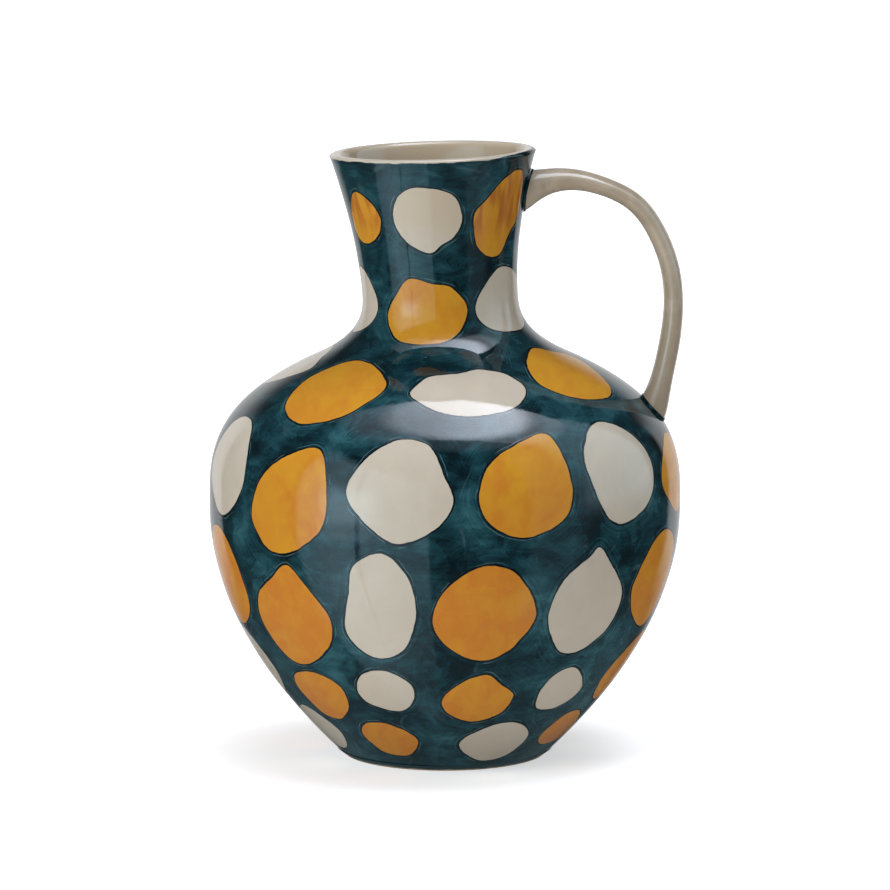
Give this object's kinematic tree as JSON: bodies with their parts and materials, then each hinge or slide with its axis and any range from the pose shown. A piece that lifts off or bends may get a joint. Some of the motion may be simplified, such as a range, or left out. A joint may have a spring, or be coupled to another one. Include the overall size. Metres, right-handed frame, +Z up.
{
  "type": "ceramic pitcher",
  "caption": "Hand-painted glazed stoneware pitcher with a rounded belly, a leaning flared neck and a looped strap handle, for holding and pouring liquids or flowers.",
  "frame": {"origin": "centre of the foot on the surface the pitcher stands on, on the belly's axis", "axes": "+Z up along the belly's axis; +X towards the handle, so -X is the pouring side; the handle lies in the plane Y = 0, which is the plane of symmetry"},
  "size_m": [0.2346, 0.2342, 0.3019],
  "materials": {
    "painted_glaze": "glossy glaze, teal with cream and ochre dots",
    "cream_glaze": "glossy greige-cream glaze",
    "joint_glaze": "glossy dark teal glaze",
    "bare_clay": "unglazed matt tan stoneware"
  },
  "bodies": {
    "root": {"belly": "painted_glaze", "neck": "painted_glaze", "foot_ring": "bare_clay", "handle": "cream_glaze", "upper_handle_joint": "joint_glaze", "lower_handle_joint": "joint_glaze"}
  },
  "joints": []
}
